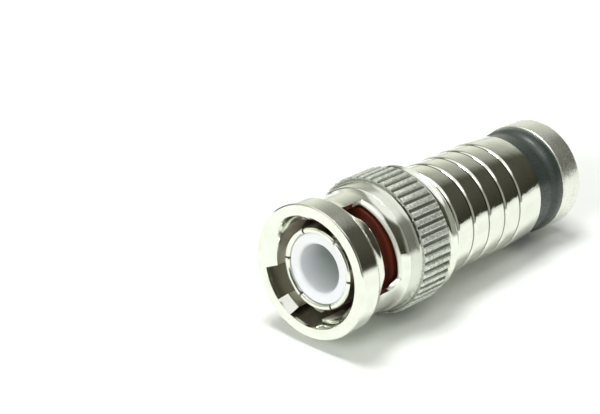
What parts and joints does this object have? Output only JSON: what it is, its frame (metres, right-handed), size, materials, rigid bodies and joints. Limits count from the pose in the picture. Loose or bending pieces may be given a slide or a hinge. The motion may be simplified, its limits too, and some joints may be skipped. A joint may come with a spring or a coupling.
{
  "type": "bnc connector",
  "caption": "Coaxial bayonet cable plug: knurled coupling nut with two bayonet windows, ringed compression body, plastic sleeve and end ring.",
  "frame": {"origin": "centre of the end ring's rear face, on the plug's axis", "axes": "+Z along the plug's axis towards the mating end; +X and +Y across it, with the bayonet window's middle about 16 degrees from +X"},
  "size_m": [0.0138, 0.0138, 0.0351],
  "materials": {
    "nickel_nut": "bright nickel plate on a zinc casting",
    "nickel_body": "bright nickel plate on turned brass",
    "nickel_end": "bright nickel plate on turned brass",
    "nickel_contact": "bright nickel plate, slotted contact",
    "black_plastic": "smooth moulded plastic, satin",
    "white_plastic": "turned white polymer",
    "guide_plastic": "moulded white polymer",
    "red_silicone": "soft silicone, slight sheen",
    "gilt_brass": "gold flash on brass",
    "tinned_brass": "tinned brass",
    "spring_steel": "spring steel",
    "washer_steel": "plated steel"
  },
  "bodies": {
    "plug_body": {"ringed_body": "nickel_body", "outer_contact": "nickel_contact", "dielectric": "white_plastic", "pin_guide": "guide_plastic", "support_post": "tinned_brass", "face_gasket": "red_silicone", "retaining_ring": "spring_steel", "front_washer": "washer_steel", "wave_washer": "spring_steel"},
    "press_end": {"end_ring": "nickel_end", "compression_sleeve": "black_plastic"},
    "thrust_washer": {"rear_washer": "washer_steel"},
    "nut": {"coupling_nut": "nickel_nut"},
    "pin": {"centre_pin": "gilt_brass"}
  },
  "joints": [
    {"name": "compression_slide", "type": "slide", "parent": "plug_body", "child": "press_end", "axis": [0, 0, 1], "range_m": [0, 0.00202]},
    {"name": "nut_slide", "type": "slide", "parent": "plug_body", "child": "thrust_washer", "axis": [0, 0, 1], "range_m": [0, 0.0006], "stiffness_N_per_m": 300, "springref_m": -0.002, "deforming": ["wave_washer"]},
    {"name": "nut_spin", "type": "hinge", "parent": "thrust_washer", "child": "nut", "pos_m": [0, 0, 0.02803], "axis": [0, 0, 1], "continuous": true},
    {"name": "pin_slide", "type": "slide", "parent": "plug_body", "child": "pin", "axis": [0, 0, 1], "range_m": [0, 0.00618]}
  ]
}
